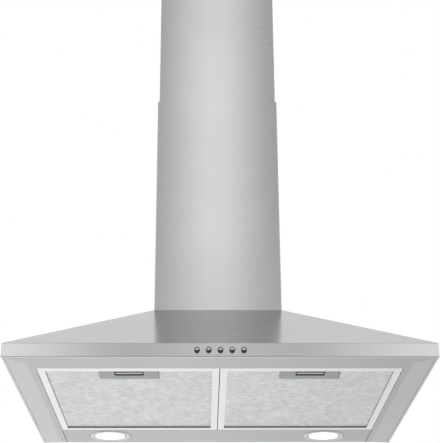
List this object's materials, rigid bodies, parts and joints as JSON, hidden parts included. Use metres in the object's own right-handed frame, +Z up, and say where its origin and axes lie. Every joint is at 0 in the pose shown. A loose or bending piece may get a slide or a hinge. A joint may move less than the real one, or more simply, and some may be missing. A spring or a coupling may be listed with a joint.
{
  "type": "chimney range hood",
  "caption": "Wall-mounted chimney range hood with a pyramid canopy, telescoping cover, push buttons, round lamps and latched grease filters that swing down.",
  "frame": {"origin": "centre of the underside, level with the bottom of the lip", "axes": "+X to the hood's right as the cook faces it, +Y towards the wall, +Z up"},
  "size_m": [0.6, 0.505, 0.747],
  "materials": {
    "stainless": "fine horizontal brushed grain",
    "galvanised": "plain galvanised",
    "filter_aluminium": "satin rolled sheet",
    "mesh": "expanded mesh",
    "latch_steel": "satin",
    "latch_pad": "satin",
    "spring_steel": "polished strip",
    "lamp_trim": "satin nickel",
    "lamp_lens": "frosted, lit",
    "heat_sink": "die cast",
    "circuit_board": "white solder resist",
    "button_chrome": "polished",
    "black_plastic": "moulded, fine texture",
    "impeller_plastic": "moulded",
    "motor_case": "laminated steel",
    "shaft_steel": "ground",
    "fixings": "zinc plated",
    "electrical_plastic": "moulded"
  },
  "bodies": {
    "hood": {"blower_housing_left": "black_plastic", "blower_housing_right": "black_plastic", "blower_rail_front": "galvanised", "blower_rail_rear": "galvanised", "blower_screws": "fixings", "cable_gland": "electrical_plastic", "canopy_shell": "stainless", "capacitor": "electrical_plastic", "damper_rod": "shaft_steel", "duct_collar": "black_plastic", "lamp_bezel_left": "lamp_trim", "lamp_bezel_right": "lamp_trim", "lamp_board_left": "circuit_board", "lamp_board_right": "circuit_board", "lamp_clips": "spring_steel", "lamp_driver": "electrical_plastic", "lamp_heat_sink_left": "heat_sink", "lamp_heat_sink_right": "heat_sink", "lamp_lens_left": "lamp_lens", "lamp_lens_right": "lamp_lens", "lamp_panel": "stainless", "lower_chimney": "stainless", "motor": "motor_case", "motor_bracket": "galvanised", "panel_screws": "fixings", "rear_panel": "galvanised", "switch_block": "black_plastic", "terminal_block": "electrical_plastic", "terminal_box": "electrical_plastic", "terminal_cover": "electrical_plastic", "underside_frame": "stainless"},
    "upper_chimney": {"upper_chimney": "stainless", "chimney_bracket": "galvanised", "bracket_screws": "fixings"},
    "impeller": {"impeller_disc": "impeller_plastic", "impeller_blades": "impeller_plastic", "impeller_rings": "impeller_plastic", "motor_shaft": "shaft_steel"},
    "damper_left": {"damper_flap_left": "black_plastic"},
    "damper_right": {"damper_flap_right": "black_plastic"},
    "button_1": {"button_1": "button_chrome"},
    "button_2": {"button_2": "button_chrome"},
    "button_3": {"button_3": "button_chrome"},
    "button_4": {"button_4": "button_chrome"},
    "button_5": {"button_5": "button_chrome"},
    "filter_left": {"filter_frame_left": "filter_aluminium", "filter_screen_left": "mesh", "filter_backing_left": "mesh", "filter_core_left": "mesh", "latch_plate_left": "latch_steel", "latch_spring_left": "spring_steel"},
    "latch_left": {"latch_slider_left": "latch_pad"},
    "filter_right": {"filter_frame_right": "filter_aluminium", "filter_screen_right": "mesh", "filter_backing_right": "mesh", "filter_core_right": "mesh", "latch_plate_right": "latch_steel", "latch_spring_right": "spring_steel"},
    "latch_right": {"latch_slider_right": "latch_pad"}
  },
  "joints": [
    {"name": "chimney_slide", "type": "slide", "parent": "hood", "child": "upper_chimney", "axis": [0, 0, 1], "range_m": [-0.185, 0.125]},
    {"name": "impeller_spin", "type": "hinge", "parent": "hood", "child": "impeller", "pos_m": [0, 0.112, 0.16], "axis": [1, 0, 0], "continuous": true},
    {"name": "damper_left_swing", "type": "hinge", "parent": "hood", "child": "damper_left", "pos_m": [0, 0.17, 0.282], "axis": [0, 1, 0], "range_deg": [0, 75]},
    {"name": "damper_right_swing", "type": "hinge", "parent": "hood", "child": "damper_right", "pos_m": [0, 0.17, 0.282], "axis": [0, -1, 0], "range_deg": [0, 75]},
    {"name": "button_1_press", "type": "slide", "parent": "hood", "child": "button_1", "axis": [0, 1, 0], "range_m": [0, 0.0025], "stiffness_N_per_m": 400, "springref_m": -0.002},
    {"name": "button_2_press", "type": "slide", "parent": "hood", "child": "button_2", "axis": [0, 1, 0], "range_m": [0, 0.0025], "stiffness_N_per_m": 400, "springref_m": -0.002},
    {"name": "button_3_press", "type": "slide", "parent": "hood", "child": "button_3", "axis": [0, 1, 0], "range_m": [0, 0.0025], "stiffness_N_per_m": 400, "springref_m": -0.002},
    {"name": "button_4_press", "type": "slide", "parent": "hood", "child": "button_4", "axis": [0, 1, 0], "range_m": [0, 0.0025], "stiffness_N_per_m": 400, "springref_m": -0.002},
    {"name": "button_5_press", "type": "slide", "parent": "hood", "child": "button_5", "axis": [0, 1, 0], "range_m": [0, 0.0025], "stiffness_N_per_m": 400, "springref_m": -0.002},
    {"name": "filter_left_drop", "type": "hinge", "parent": "hood", "child": "filter_left", "pos_m": [-0.1294, 0.1619, 0.0008], "axis": [1, 0, 0], "range_deg": [0, 80]},
    {"name": "latch_left_pull", "type": "slide", "parent": "filter_left", "child": "latch_left", "axis": [0, 1, 0], "range_m": [0, 0.0035], "stiffness_N_per_m": 300, "springref_m": -0.004, "deforming": ["latch_spring_left"]},
    {"name": "filter_right_drop", "type": "hinge", "parent": "hood", "child": "filter_right", "pos_m": [0.1294, 0.1619, 0.0008], "axis": [1, 0, 0], "range_deg": [0, 80]},
    {"name": "latch_right_pull", "type": "slide", "parent": "filter_right", "child": "latch_right", "axis": [0, 1, 0], "range_m": [0, 0.0035], "stiffness_N_per_m": 300, "springref_m": -0.004, "deforming": ["latch_spring_right"]}
  ]
}
